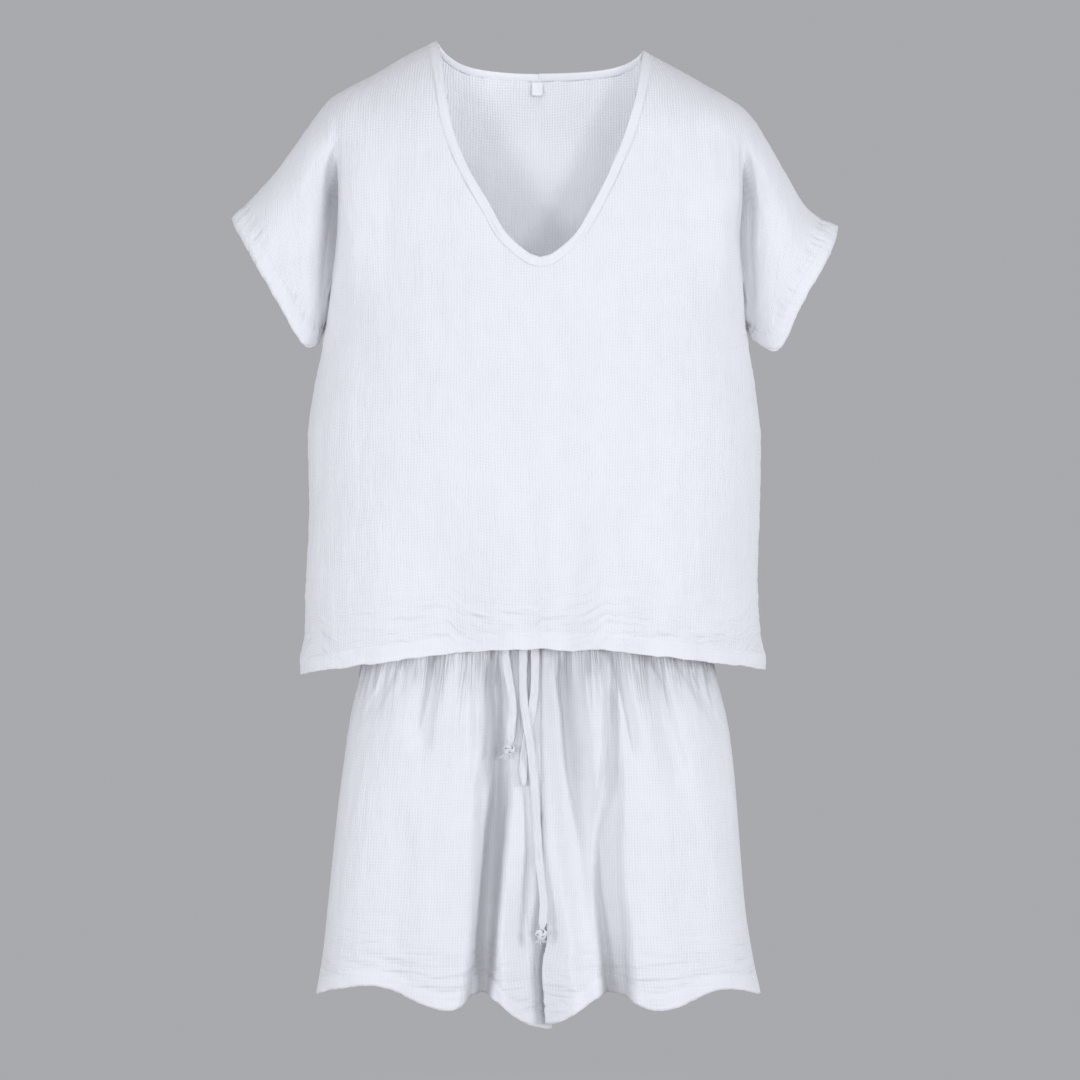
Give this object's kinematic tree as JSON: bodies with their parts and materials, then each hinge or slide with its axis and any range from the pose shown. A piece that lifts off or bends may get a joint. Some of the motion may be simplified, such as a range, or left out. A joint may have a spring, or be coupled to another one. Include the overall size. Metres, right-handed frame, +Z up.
{
  "type": "shorts set",
  "caption": "Two-piece set in white crinkled double gauze: a V-neck top with grown-on sleeves, and shorts with a gathered elastic waist and a tied drawstring, hung as worn.",
  "frame": {"origin": "midway between the two neck points of the top, at the height of the shoulders, where the wearer's shoulders hold the set up", "axes": "+Z up, -Y out of the front of the set, +X towards the wearer's left; y = 0 is the plane of the shoulder, side and outer leg seams"},
  "size_m": [0.637, 0.1889, 1.0355],
  "materials": {
    "top_gauze": "white crinkled cotton double gauze, matt",
    "shorts_gauze": "white crinkled cotton double gauze, matt",
    "tape_cloth": "white woven tape, matt",
    "string_cloth": "flat string of folded gauze, matt"
  },
  "bodies": {
    "root": {"top_front": "top_gauze", "top_back": "top_gauze", "neck_band": "top_gauze", "neck_tape": "tape_cloth", "size_label": "tape_cloth", "waistband": "shorts_gauze", "shorts_front_right": "shorts_gauze", "shorts_front_left": "shorts_gauze", "shorts_back_right": "shorts_gauze", "shorts_back_left": "shorts_gauze", "drawstring_knot": "string_cloth", "drawstring_tail_right": "string_cloth", "drawstring_tail_left": "string_cloth", "drawstring_loop": "string_cloth", "end_knot_right": "string_cloth", "end_knot_left": "string_cloth"}
  },
  "joints": []
}
